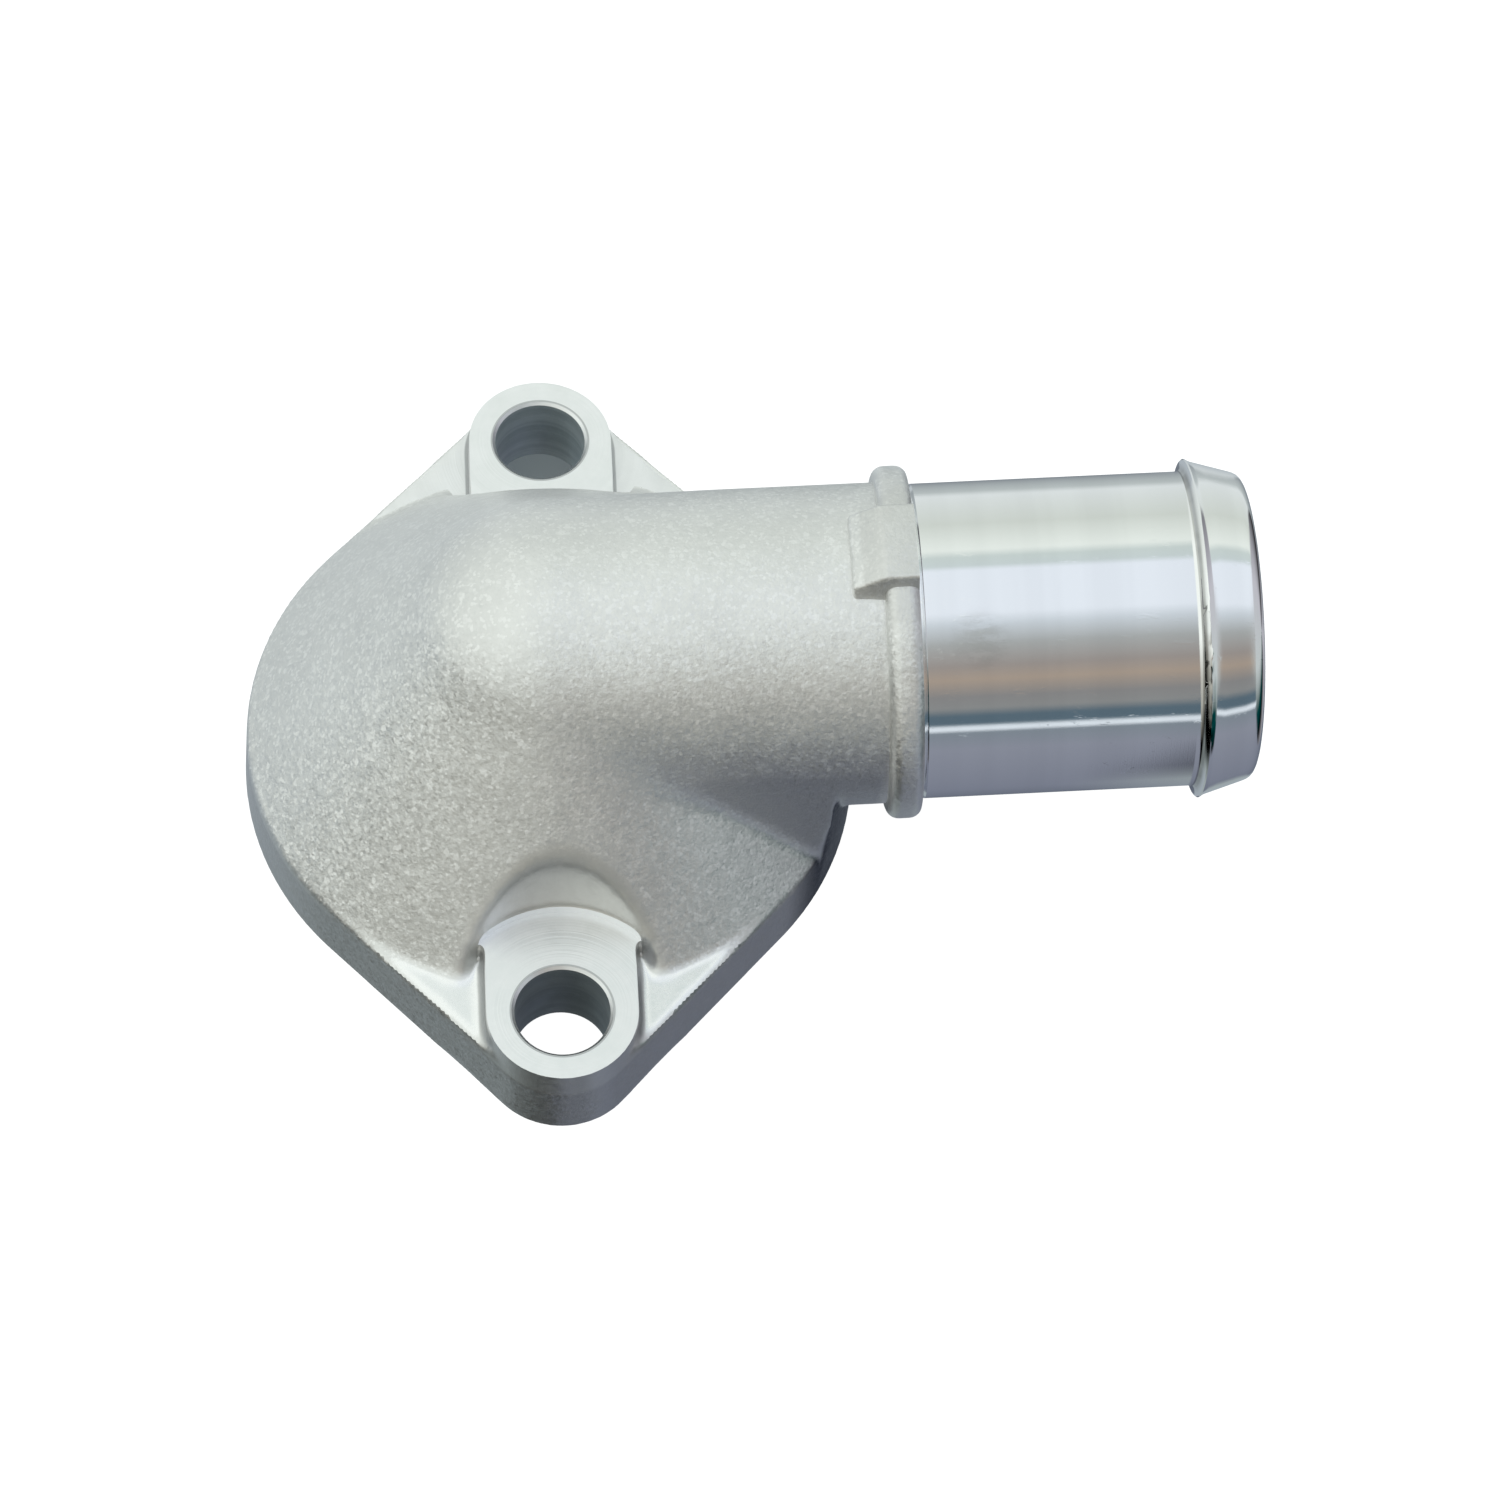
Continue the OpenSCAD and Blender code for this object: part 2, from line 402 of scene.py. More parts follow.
class Nodes:
    """Short hand for building one shader node tree."""

    def __init__(self, tree: bpy.types.NodeTree) -> None:
        """Keeps the tree that nodes are added to."""
        self.tree = tree

    def add(self, kind: str, feeds: dict[str | int, object] | None = None,
            **settings: object) -> bpy.types.Node:
        """Adds a node.

        Args:
            kind: The node's type name without its ShaderNode prefix.
            feeds: Sockets or plain values for its inputs, by name or index.
            settings: Properties of the node.

        Returns:
            The new node.
        """
        node = self.tree.nodes.new("ShaderNode" + kind)
        for key, value in settings.items():
            setattr(node, key, value)
        for name, source in (feeds or {}).items():
            self.feed(node, name, source)
        return node

    def feed(self, node: bpy.types.Node, name: str | int, source: object) -> None:
        """Links a socket into a node's input, or sets the input's value.

        Args:
            node: The node to feed.
            name: The input's name or index.
            source: An output socket, or a plain value.
        """
        if isinstance(source, Socket):
            self.tree.links.new(source, node.inputs[name])
        else:
            node.inputs[name].default_value = source

    def math(self, operation: str, a: object, b: object = 0.0) -> Socket:
        """Works out a value, by Blender's name for the operation."""
        return self.add("Math", {0: a, 1: b}, operation=operation).outputs[0]

    def product(self, *values: object) -> Socket:
        """Multiplies values together."""
        return reduce(lambda a, b: self.math("MULTIPLY", a, b), values)

    def total(self, *values: object) -> Socket:
        """Adds values together."""
        return reduce(lambda a, b: self.math("ADD", a, b), values)

    def less(self, a: object, b: object) -> Socket:
        """Takes the second value from the first."""
        return self.math("SUBTRACT", a, b)

    def gap(self, a: object, b: object) -> Socket:
        """Works out how far apart two values are."""
        return self.math("ABSOLUTE", self.less(a, b))

    def hypot(self, a: object, b: object) -> Socket:
        """Works out a distance from its two legs."""
        return self.math("SQRT", self.total(self.product(a, a), self.product(b, b)))

    def vector(self, operation: str, a: object, b: object = (0, 0, 0), scale: object = 1.0) -> Socket:
        """Works out a vector, or a length for DISTANCE, by Blender's name for the operation."""
        node = self.add("VectorMath", {0: a, 1: b, 3: scale}, operation=operation)
        return node.outputs["Value" if operation == "DISTANCE" else "Vector"]

    def ramp(self, value: object, low: float, high: float, out: Point = (0, 1)) -> Socket:
        """Adds a smooth step between two values, with the results at its start and end."""
        feeds = dict(enumerate((value, low, high, *out)))
        return self.add("MapRange", feeds, interpolation_type="SMOOTHSTEP").outputs[0]

    def fall(self, value: object, low: float, high: float, most: float = 1) -> Socket:
        """Adds a smooth step down to 0."""
        return self.ramp(value, low, high, (most, 0))

    def noise(self, place: object, scale: float, detail: float = 2.0, rough: float = 0.5) -> Socket:
        """Adds a noise with its features per metre, its octaves and the strength of the finer ones."""
        feeds = {"Vector": place, "Scale": scale, "Detail": detail, "Roughness": rough}
        return self.add("TexNoise", feeds).outputs["Fac"]

    def cells(self, place: object, scale: float) -> Socket:
        """Adds small cells, so many per metre, each with a random vector."""
        return self.add("TexVoronoi", {"Vector": place, "Scale": scale}).outputs["Color"]

    def mix(self, factor: object, a: object, b: object) -> Socket:
        """Mixes two colours by the share of the second."""
        a, b = (tone if isinstance(tone, Socket) else (*tone, 1) for tone in (a, b))
        return self.add("Mix", {0: factor, 6: a, 7: b}, data_type="RGBA").outputs[2]

    def bands(self, value: object, stops: Sequence[tuple[float, Colour]]) -> Socket:
        """Adds a colour ramp.

        Args:
            value: The socket that picks the colour.
            stops: Places from 0 to 1 and their colours.

        Returns:
            The colour's socket.
        """
        node = self.add("ValToRGB", {0: value})
        elements = node.color_ramp.elements
        while len(elements) < len(stops):
            elements.new(1.0)
        for element, (place, colour) in zip(elements, stops):
            element.position = place
            element.color = (*colour, 1)
        return node.outputs["Color"]

    def split(self, vector: object) -> list[Socket]:
        """Splits a vector into its three parts."""
        return list(self.add("SeparateXYZ", {0: vector}).outputs)

    def merge(self, x: object, y: object, z: object) -> Socket:
        """Joins three values into a vector."""
        return self.add("CombineXYZ", {0: x, 1: y, 2: z}).outputs[0]


class Group(Nodes):
    """A shader node group with named inputs and outputs, built once and shared by the finishes."""

    def __init__(self, name: str, inputs: dict[str, float], outputs: Sequence[str],
                 vectors: Sequence[str] = ()) -> None:
        """Starts an empty group.

        Args:
            name: The group's name.
            inputs: Names and default values of the inputs; Place is added as a vector.
            outputs: Names of the value outputs.
            vectors: Names of the vector outputs.
        """
        super().__init__(bpy.data.node_groups.new(name, "ShaderNodeTree"))
        sockets = self.tree.interface
        sockets.new_socket("Place", in_out="INPUT", socket_type="NodeSocketVector")
        for key, value in inputs.items():
            sockets.new_socket(key, in_out="INPUT", socket_type="NodeSocketFloat").default_value = value
        for key in outputs:
            sockets.new_socket(key, in_out="OUTPUT", socket_type="NodeSocketFloat")
        for key in vectors:
            sockets.new_socket(key, in_out="OUTPUT", socket_type="NodeSocketVector")
        self.inside = self.tree.nodes.new("NodeGroupInput")
        self.outside = self.tree.nodes.new("NodeGroupOutput")

    def given(self, name: str) -> Socket:
        """Returns the socket of one of the group's inputs."""
        return self.inside.outputs[name]

    def give(self, name: str, source: Socket) -> None:
        """Links a socket to one of the group's outputs."""
        self.tree.links.new(source, self.outside.inputs[name])


def blasted_grain() -> bpy.types.NodeTree:
    """Builds the shot-blasted grain of the casting.

    Returns:
        A group with the outputs Height, Glint, Tone and Tilt.
    """
    group = Group("blasted_grain", {"Scale": 1.0}, ("Height", "Glint", "Tone"), ("Tilt",))
    place = group.vector("SCALE", group.given("Place"), scale=group.given("Scale"))
    big, small = (group.cells(place, scale) for scale in (2300.0, 3900.0))
    centred = group.vector("SUBTRACT", group.vector("ADD", big, small), (1.0, 1.0, 1.0))
    # Bright cells: their facets tilt upwards, and the cast skin also paints them white as painted glints.
    bright = (group.ramp(group.split(small)[0], 0.78, 0.95), group.ramp(group.split(big)[0], 0.88, 1.0))
    glint = group.math("MAXIMUM", *bright)
    group.give("Tilt", group.vector("ADD", centred, group.merge(0.0, 0.0, glint)))
    group.give("Height", group.total(group.noise(place, 3000.0, 2.0, 0.6), group.noise(place, 1300.0)))
    group.give("Glint", glint)
    group.give("Tone", group.noise(place, 160.0, 3.0, 0.6))
    return group.tree


def tool_marks() -> bpy.types.NodeTree:
    """Builds the fine marks that a cutter leaves across its feed.

    Returns:
        A group with the outputs Height and Streak; Place's x is the distance across the marks.
    """
    group = Group("tool_marks", {"Pitch": 5000.0, "Wander": 60.0}, ("Height", "Streak"))
    x = group.split(group.given("Place"))[0]
    drift = group.noise(group.given("Place"), 220.0)
    across = group.total(group.product(x, group.given("Pitch")), group.product(drift, 1.2))
    line = group.add("TexNoise", {"W": across, "Scale": 1.0}, noise_dimensions="1D")
    wide = group.product(x, group.given("Wander"))
    broad = group.add("TexNoise", {"W": wide, "Scale": 8.0}, noise_dimensions="1D")
    group.give("Height", line.outputs["Fac"])
    group.give("Streak", broad.outputs["Fac"])
    return group.tree


GROUPS: dict[str, bpy.types.NodeTree] = {}


class Shop:
    """The material that a finish is painted in: its node tree, Object coordinates and shared groups."""

    def __init__(self, name: str) -> None:
        """Starts a material with an empty metal shader.

        Args:
            name: The material's name.
        """
        self.material = bpy.data.materials.new(name)
        self.material.use_nodes = True
        self.nodes = Nodes(self.material.node_tree)
        self.metal = self.material.node_tree.nodes["Principled BSDF"]
        self.place = self.nodes.add("TexCoord").outputs["Object"]
        self.normal = self.nodes.add("NewGeometry").outputs["Normal"]

    def group(self, name: str, place: object, **inputs: float) -> bpy.types.Node:
        """Places a shared group in this material, with values for its other inputs."""
        feeds = {"Place": place, **{key.title(): value for key, value in inputs.items()}}
        return self.nodes.add("Group", feeds, node_tree=GROUPS[name])

    def facets(self, tilt: object, amount: object) -> Socket:
        """Tilts the surface's normal by small random facets.

        Args:
            tilt: Socket of a random vector.
            amount: How far the facets tilt, as a value or a socket.

        Returns:
            The tilted normal's socket.
        """
        n = self.nodes
        total = n.vector("ADD", self.normal, n.vector("SCALE", tilt, scale=amount))
        return n.vector("NORMALIZE", total)

    def from_bolt(self) -> list[Socket]:
        """Measures places from the nearer bolt.

        Returns:
            The offset outwards from the bolt, the distance from its axis, and the distance from the slot
            that runs from the bolt inwards.
        """
        n = self.nodes
        x, y, _ = n.split(self.place)
        out = n.less(n.math("ABSOLUTE", y), HOLE_Y * METRES_PER_MM)
        return [out, n.hypot(x, out), n.hypot(x, n.math("MAXIMUM", out, 0.0))]

    def finish(self, colour: object, roughness: object, height: object, depth: float,
               normal: object = None) -> None:
        """Connects a finish to the metal shader.

        Args:
            colour: Colour socket.
            roughness: Roughness socket.
            height: Height socket of the surface's relief.
            depth: Real depth of the relief in metres.
            normal: Socket of the normal under the relief, if it isn't the mesh's own.
        """
        relief = {"Distance": depth, "Height": height}
        if normal is not None:
            relief["Normal"] = normal
        bump = self.nodes.add("Bump", relief).outputs[0]
        looks = {"Base Color": colour, "Roughness": roughness, "Metallic": 1.0, "Normal": bump}
        for name, source in looks.items():
            self.nodes.feed(self.metal, name, source)


@dataclass(frozen=True)
class Tint:
    """A tone that is laid over a finish, and how much of it."""

    colour: Colour | Socket
    share: float = 1.0


@dataclass(frozen=True)
class Coat:
    """What every finish has: two tones, a range of roughness and the depth of its relief in metres."""

    name: str
    light: Colour
    dark: Colour
    roughness: Point
    depth: float

    def paint(self) -> bpy.types.Material:
        """Builds the material.

        Returns:
            The finished material.
        """
        shop = Shop(self.name)
        self.lay(shop)
        return shop.material

    def lay(self, shop: Shop) -> None:
        """Lays the finish on, in each finish's own way."""
        raise NotImplementedError

    def blend(self, n: Nodes, pattern: object) -> Socket:
        """Blends the two tones by a pattern around one half."""
        return n.mix(n.ramp(pattern, 0.3, 0.7), self.dark, self.light)

    def tinted(self, n: Nodes, colour: object, *tints: tuple[object, Tint]) -> Socket:
        """Lays tints over a colour, one after the other.

        Args:
            n: The material's nodes.
            colour: The colour below.
            tints: Pairs of a mask and the tint to lay on there.

        Returns:
            The colour's socket.
        """
        for mask, tint in tints:
            colour = n.mix(n.product(mask, tint.share), colour, tint.colour)
        return colour


@dataclass(frozen=True)
class CastSkin(Coat):
    """Blasted cast skin with fine glinting grain and white flecks painted in as glints, smoother in the
    scoops and on the shoulders, with painted light and shade in places.

    Places are in metres, and steep, level and the painted shade's facing are shares of the surface's normal.
    """

    name: str = "blasted_cast_skin"
    light: Colour = (0.785, 0.788, 0.782)
    dark: Colour = (0.745, 0.748, 0.743)
    roughness: Point = (0.38, 0.48)
    depth: float = 0.00004
    # Painted glints: white flecks laid into the colour, beside the real upward tilt of the same facets.
    glint: Tint = Tint((1.0, 1.0, 1.0), 0.36)
    tilt: float = 0.076
    polish: float = 0.18
    steep: Point = (0.2, 0.5)
    shoulder: Tint = Tint((0.9, 0.905, 0.91))
    shoulder_level: Point = (0.93, 0.985)
    shoulder_z: float = 0.0066
    shoulder_top: Point = (0.0067, 0.0070)
    # Painted shade: the flange's side walls and the web's front are painted darker.
    wall: Tint = Tint((0.59, 0.595, 0.61), 0.7)
    wall_top: Point = (0.0054, 0.0062)
    web_x: Point = (0.0105, 0.014)
    web_end: Point = (0.0300, 0.0306)
    web_top: Point = (0.0205, 0.0225)
    web_steep: Point = (0.02, 0.22)
    # Painted shadow under the tube, on the walls near the flange's end that face the spigot.
    painted_shade: Tint = Tint((0.09, 0.10, 0.12))
    painted_shade_facing: Point = (0.35, 0.65)
    painted_shade_x: Point = (0.0215, 0.0255)
    painted_shade_end: Point = (0.0296, 0.0302)
    # Painted light: the collar below its top is painted lighter.
    collar: Tint = Tint((0.96, 0.965, 0.97), 0.6)
    collar_x: Point = (0.0305, 0.0310)
    collar_top: Point = (0.031, 0.034)
    # Painted shade: the top of the lug, and of the collar and tube beside it, is painted darker.
    lug: Tint = Tint((0.64, 0.64, 0.63), 0.5)
    lug_x: Point = (0.0280, 0.0284)
    lug_z: Point = (0.0352, 0.0360)
    # Painted light and shade in the scoops: the wall is painted lighter towards -x and darker from x = -3 mm
    # on.
    scoop_lit_and_shaded_tones: tuple[Colour, Colour] = ((0.95, 0.95, 0.94), (0.66, 0.65, 0.62))
    scoop_light_share: float = 0.7
    scoop_r: Point = (0.0108, 0.0118)
    scoop_lean: float = 0.087
    scoop_light_x: Point = (-0.0075, -0.0030)
    scoop_z: Point = (0.0090, 0.0098)
    # Painted shade in the crease along each seat's side, above the shoulder.
    seam_shade: Tint = Tint((0.25, 0.26, 0.27), 0.6)
    seam_r: float = 0.0072
    seam_width: Point = (0.0003, 0.0008)
    seam_z: Point = (0.0060, 0.0063)
    seam_top: Point = (0.0079, 0.0084)
    seam_in: Point = (-0.011, -0.010)
    seam_out: Point = (0.0015, 0.0035)
    speck: Tint = Tint((0.3, 0.3, 0.29), 0.8)
    speck_at: Triple = (-0.0010, 0.0135, 0.0330)
    speck_size: Point = (0.0002, 0.0006)

    def lay(self, shop: Shop) -> None:
        """Lays the grain, and then the tones that the mould and the cutters left, a dark speck, and the
        painted light and shade.

        Args:
            shop: The material.
        """
        n = shop.nodes
        grain = shop.group("blasted_grain", shop.place, scale=1.0)
        height = grain.outputs["Height"]
        x, _, z = n.split(shop.place)
        ahead, _, up = n.split(shop.normal)
        out, from_bolt, from_slot = shop.from_bolt()
        lean = n.product(n.less(z, self.shoulder_z), self.scoop_lean)
        skin = n.ramp(n.less(from_bolt, lean), *self.scoop_r)
        flat = n.product(n.ramp(up, *self.shoulder_level), n.fall(z, *self.shoulder_top))
        upright = n.fall(up, *self.steep)
        low = n.fall(z, *self.web_top)
        web = n.product(n.ramp(x, *self.web_x), n.fall(x, *self.web_end), low, n.fall(up, *self.web_steep))
        # Mask of the painted shade on the steep low walls and on the web; it also keeps their grain.
        wall = n.math("MAXIMUM", n.product(n.fall(z, *self.wall_top), upright), web)
        # Painted shadow under the tube, on the steep walls that face the spigot.
        painted_shade = n.product(n.ramp(ahead, *self.painted_shade_facing), low, n.ramp(x, *self.painted_shade_x),
                          n.fall(x, *self.painted_shade_end), upright)
        # Mask of the painted light on the collar below its top.
        collar = n.product(n.ramp(x, *self.collar_x), n.fall(z, *self.collar_top))
        # Mask of the painted shade on the top of the lug.
        lug = n.product(n.ramp(x, *self.lug_x), n.ramp(z, *self.lug_z))
        scoop = n.product(n.less(1.0, skin), n.ramp(z, *self.scoop_z))
        # Painted light and shade on the scoop walls.
        scoop_light_and_shade = Tint(n.mix(n.ramp(x, *self.scoop_light_x), *self.scoop_lit_and_shaded_tones), self.scoop_light_share)
        # Mask of the painted shade along each seat's side.
        seam_shade = n.product(n.fall(n.gap(from_slot, self.seam_r), *self.seam_width), n.ramp(z, *self.seam_z),
                         n.fall(z, *self.seam_top), n.ramp(out, *self.seam_in), n.fall(out, *self.seam_out))
        speck = n.fall(n.vector("DISTANCE", shop.place, self.speck_at), *self.speck_size)
        grained = n.product(n.total(n.product(skin, 0.75), 0.25), n.less(1.0, n.product(flat, 0.95)))
        grained = n.math("MAXIMUM", grained, wall)
        # Over the real tones lie painted glints, painted shade on the walls, under the tube, on the lug and
        # in the seams, painted light on the collar, and painted light and shade in the scoops.
        colour = self.tinted(
            n, self.blend(n, grain.outputs["Tone"]), (n.product(grain.outputs["Glint"], grained), self.glint),
            (flat, self.shoulder), (wall, self.wall), (painted_shade, self.painted_shade), (collar, self.collar),
            (lug, self.lug), (scoop, scoop_light_and_shade), (seam_shade, self.seam_shade), (speck, self.speck))
        roughness = n.less(n.ramp(height, 0.6, 1.4, self.roughness), n.product(flat, self.polish))
        normal = shop.facets(grain.outputs["Tilt"], n.product(grained, self.tilt))
        shop.finish(colour, roughness, n.product(height, grained), self.depth, normal)


@dataclass(frozen=True)
class MilledFace(Coat):
    """Bright faced metal with faint arcs from the cutter around each bolt, painted shade in the seam beside
    each seat, and a darker ring at each hole's edge.
    """

    name: str = "milled_face"
    light: Colour = (0.92, 0.925, 0.935)
    dark: Colour = (0.86, 0.87, 0.88)
    roughness: Point = (0.30, 0.40)
    depth: float = 0.000012
    # Painted shade in the seam beside each seat, and a darker ring at each hole's edge.
    dark_line_tone: Tint = Tint((0.22, 0.23, 0.24))
    seam_share: float = 0.6
    seam_r: float = 0.0074
    seam_width: Point = (0.0001, 0.00026)
    seam_z: Point = (0.0040, 0.0060)
    seam_top: Point = (0.0079, 0.0084)
    edge_share: float = 0.55
    edge_r: float = 0.00486
    edge_width: Point = (0.00005, 0.00014)
    edge_z: Point = (0.0080, 0.0085)

    def lay(self, shop: Shop) -> None:
        """Lays the cutter's arcs and haze, the painted shade in the seam, and the darker ring at the hole's
        edge.

        Args:
            shop: The material.
        """
        n = shop.nodes
        _, y, z = n.split(shop.place)
        _, from_bolt, from_slot = shop.from_bolt()
        marks = shop.group("tool_marks", n.merge(from_bolt, y, z), pitch=4200.0, wander=55.0)
        haze = n.noise(shop.place, scale=420.0, detail=3.0, rough=0.6)
        pattern = n.total(n.product(marks.outputs["Streak"], 0.5), n.product(haze, 0.5))
        seam_shade = n.product(n.fall(n.gap(from_slot, self.seam_r), *self.seam_width, self.seam_share),
                         n.ramp(z, *self.seam_z), n.fall(z, *self.seam_top))
        edge = n.product(n.fall(n.gap(from_bolt, self.edge_r), *self.edge_width, self.edge_share),
                         n.ramp(z, *self.edge_z))
        colour = n.mix(n.ramp(pattern, 0.35, 0.65), self.dark, self.light)
        colour = self.tinted(n, colour, (n.math("MAXIMUM", seam_shade, edge), self.dark_line_tone))
        height = n.total(marks.outputs["Height"], n.product(haze, 0.8))
        shop.finish(colour, n.ramp(haze, 0.3, 0.7, self.roughness), height, self.depth)


@dataclass(frozen=True)
class TurnedMetal(Coat):
    """Bright turned metal with fine rings, a few handling marks and painted shade at the foot of the barb's
    lip.
    """

    name: str = "turned_metal"
    light: Colour = (0.92, 0.925, 0.93)
    dark: Colour = (0.885, 0.89, 0.895)
    roughness: Point = (0.06, 0.12)
    depth: float = 0.000003
    # Painted shade in the corner at the foot of the barb's lip, patchy by a haze.
    lip_foot_shade: Tint = Tint((0.16, 0.16, 0.15))
    lip_foot_shade_start: Point = (0.0601, 0.0602)
    lip_foot_shade_end: Point = (0.0605, 0.0607)
    lip_foot_shade_range: Point = (0.45, 0.75)
    smudge: Tint = Tint((0.5, 0.5, 0.5), 0.6)
    smudge_at: Triple = (0.0390, -0.0082, 0.0336)
    smudge_size: Point = (0.0008, 0.0034)
    smudge_dulls: float = 0.08

    def lay(self, shop: Shop) -> None:
        """Lays the rings along the outlet's axis, and then the wear and the painted shade.

        Args:
            shop: The material.
        """
        n = shop.nodes
        x, y, z = n.split(shop.place)
        lift = n.product(n.less(z, OUTLET_HEIGHT * METRES_PER_MM), math.sin(OUTLET_TILT))
        along = n.total(n.product(x, math.cos(OUTLET_TILT)), lift)
        rings = shop.group("tool_marks", n.merge(along, y, z), pitch=9000.0, wander=35.0)
        scuff = n.noise(n.merge(n.product(x, 0.35), y, z), scale=900.0, detail=4.0, rough=0.7)
        haze = n.noise(shop.place, scale=130.0, detail=3.0, rough=0.6)
        worn = n.ramp(scuff, 0.6, 0.72)
        # Mask of the painted shade at the lip's foot.
        lip_foot_shade = n.product(n.ramp(along, *self.lip_foot_shade_start), n.fall(along, *self.lip_foot_shade_end),
                          n.ramp(haze, 0.35, 0.6, self.lip_foot_shade_range))
        smudge = n.product(n.fall(n.vector("DISTANCE", shop.place, self.smudge_at), *self.smudge_size),
                           n.ramp(scuff, 0.35, 0.6))
        colour = self.blend(n, rings.outputs["Streak"])
        colour = self.tinted(n, colour, (lip_foot_shade, self.lip_foot_shade), (smudge, self.smudge))
        dulled = n.total(n.product(haze, 0.7), n.product(worn, 0.4))
        roughness = n.total(n.ramp(dulled, 0.3, 0.9, self.roughness), n.product(smudge, self.smudge_dulls))
        fine = n.product(n.noise(shop.place, scale=5200.0, detail=1.0), 0.2)
        height = n.total(n.product(rings.outputs["Height"], 0.12), fine, worn)
        shop.finish(colour, roughness, height, self.depth)


@dataclass(frozen=True)
class DrilledWall(Coat):
    """Duller wall of a drilled hole with a fine spiral."""

    name: str = "drilled_wall"
    light: Colour = (0.62, 0.67, 0.69)
    dark: Colour = (0.48, 0.53, 0.55)
    roughness: Point = (0.6, 0.75)
    depth: float = 0.00002
    # Painted shade in the holes, strong in the hole at negative y and faint in the other.
    painted_shade: Tint = Tint((0.16, 0.18, 0.20))
    painted_shade_y: Point = (-0.01, 0.01)
    painted_shade_range: Point = (0.55, 0.05)

    def lay(self, shop: Shop) -> None:
        """Lays the drill's spiral, with painted shade that is stronger in the hole on the near side.

        Args:
            shop: The material.
        """
        n = shop.nodes
        x, y, z = n.split(shop.place)
        marks = shop.group("tool_marks", n.merge(z, x, y), pitch=3500.0, wander=90.0)
        haze = n.noise(shop.place, scale=500.0, detail=3.0)
        painted_shade = n.ramp(y, *self.painted_shade_y, self.painted_shade_range)
        colour = self.tinted(n, self.blend(n, marks.outputs["Streak"]), (painted_shade, self.painted_shade))
        shop.finish(colour, n.ramp(haze, 0.3, 0.7, self.roughness), marks.outputs["Height"], self.depth)


@dataclass(frozen=True)
class ChamberSkin(Coat):
    """As-cast skin of the cored chamber, duller and coarser than the blasted outside."""

    name: str = "chamber_skin"
    light: Colour = (0.66, 0.67, 0.665)
    dark: Colour = (0.52, 0.53, 0.53)
    roughness: Point = (0.55, 0.7)
    depth: float = 0.00012

    def lay(self, shop: Shop) -> None:
        """Lays a coarse grain.

        Args:
            shop: The material.
        """
        n = shop.nodes
        grain = shop.group("blasted_grain", shop.place, scale=0.7)
        height = grain.outputs["Height"]
        colour = self.blend(n, grain.outputs["Tone"])
        shop.finish(colour, n.ramp(height, 0.6, 1.4, self.roughness), height, self.depth)


class Finish(Enum):
    """The finishes of the housing's surfaces."""

    CAST = CastSkin()
    MILLED = MilledFace()
    SHOULDER = MilledFace("smooth_shoulder", (0.90, 0.905, 0.915), (0.84, 0.845, 0.855), (0.36, 0.46))
    TURNED = TurnedMetal()
    DRILLED = DrilledWall()
    CHAMBER = ChamberSkin()

    def put_on(self, obj: Solid) -> Solid:
        """Gives an object this finish all over.

        Args:
            obj: The object to dress.

        Returns:
            The same object.
        """
        material = bpy.data.materials.get(self.value.name) or self.value.paint()
        obj.data.materials.clear()
        obj.data.materials.append(material)
        return obj


# Sub-assemblies, in millimetres


@dataclass
class Axis:
    """The tilted axis of the outlet."""

    height: float = OUTLET_HEIGHT
    tilt: float = OUTLET_TILT

    def place(self, obj: Solid) -> Solid:
        """Moves something drawn along +X from the origin onto the outlet axis.

        Args:
            obj: The object to move.

        Returns:
            The same object, with its place in its mesh.
        """
        obj.rotation_euler = (0, -self.tilt, 0)
        obj.location = (0, 0, self.height)
        return settle(obj)

    def local(self, points: np.ndarray) -> tuple[np.ndarray, np.ndarray, np.ndarray]:
        """Turns part coordinates into outlet coordinates.

        Args:
            points: Rows of x, y, z.

        Returns:
            The station along the axis, the offset to the side and the offset upwards.
        """
        x, y, z = points[:, 0], points[:, 1], points[:, 2] - self.height
        c, s = math.cos(self.tilt), math.sin(self.tilt)
        return x * c + z * s, y, z * c - x * s


@dataclass
class Flange:
    """Two-bolt flange plate with a raised seat at each bolt."""

    bolt_y: float = HOLE_Y
    hole_r: float = SIZES["bolt_holes"]["hole_r_mm"]
    middle_r: float = 29.8
    ear_r: float = 7.6
    thick: float = 6.6
    seat_h: float = 8.8
    draft: float = math.tan(math.radians(3))
    stock: float = 0.7
    seat_reach: float = 12.4

    def build(self) -> list[Solid]:
        """Models the plate and the seats, with stock on the faces that are machined later.

        Returns:
            The overlapping forms.
        """
        rounds = [(self.middle_r, 0.0), (self.ear_r, self.bolt_y), (self.ear_r, -self.bolt_y)]
        plate = hull_of("plate", [self._drafted("round", r, self.thick, (0, y)) for r, y in rounds])
        return [plate, *(self.seat(side) for side in SIDES)]

    def seat(self, side: int) -> Solid:
        """Models one bolt seat that reaches in under the dome.

        Args:
            side: Which ear, -1 or 1.

        Returns:
            The seat's form, with stock on its top.
        """
        ends = [self._drafted("seat", self.ear_r, self.seat_h + self.stock, (0, side * y))
                for y in (self.bolt_y, self.bolt_y - self.seat_reach)]
        return hull_of("seat", ends)

    def _drafted(self, name: str, radius: float, top: float, at: Point) -> Solid:
        """Adds a round post whose wall leans by the draft, with stock under the mounting face."""
        lean = self.draft
        return cone(name, radius + self.stock * lean, radius - top * lean, -self.stock, top, at)


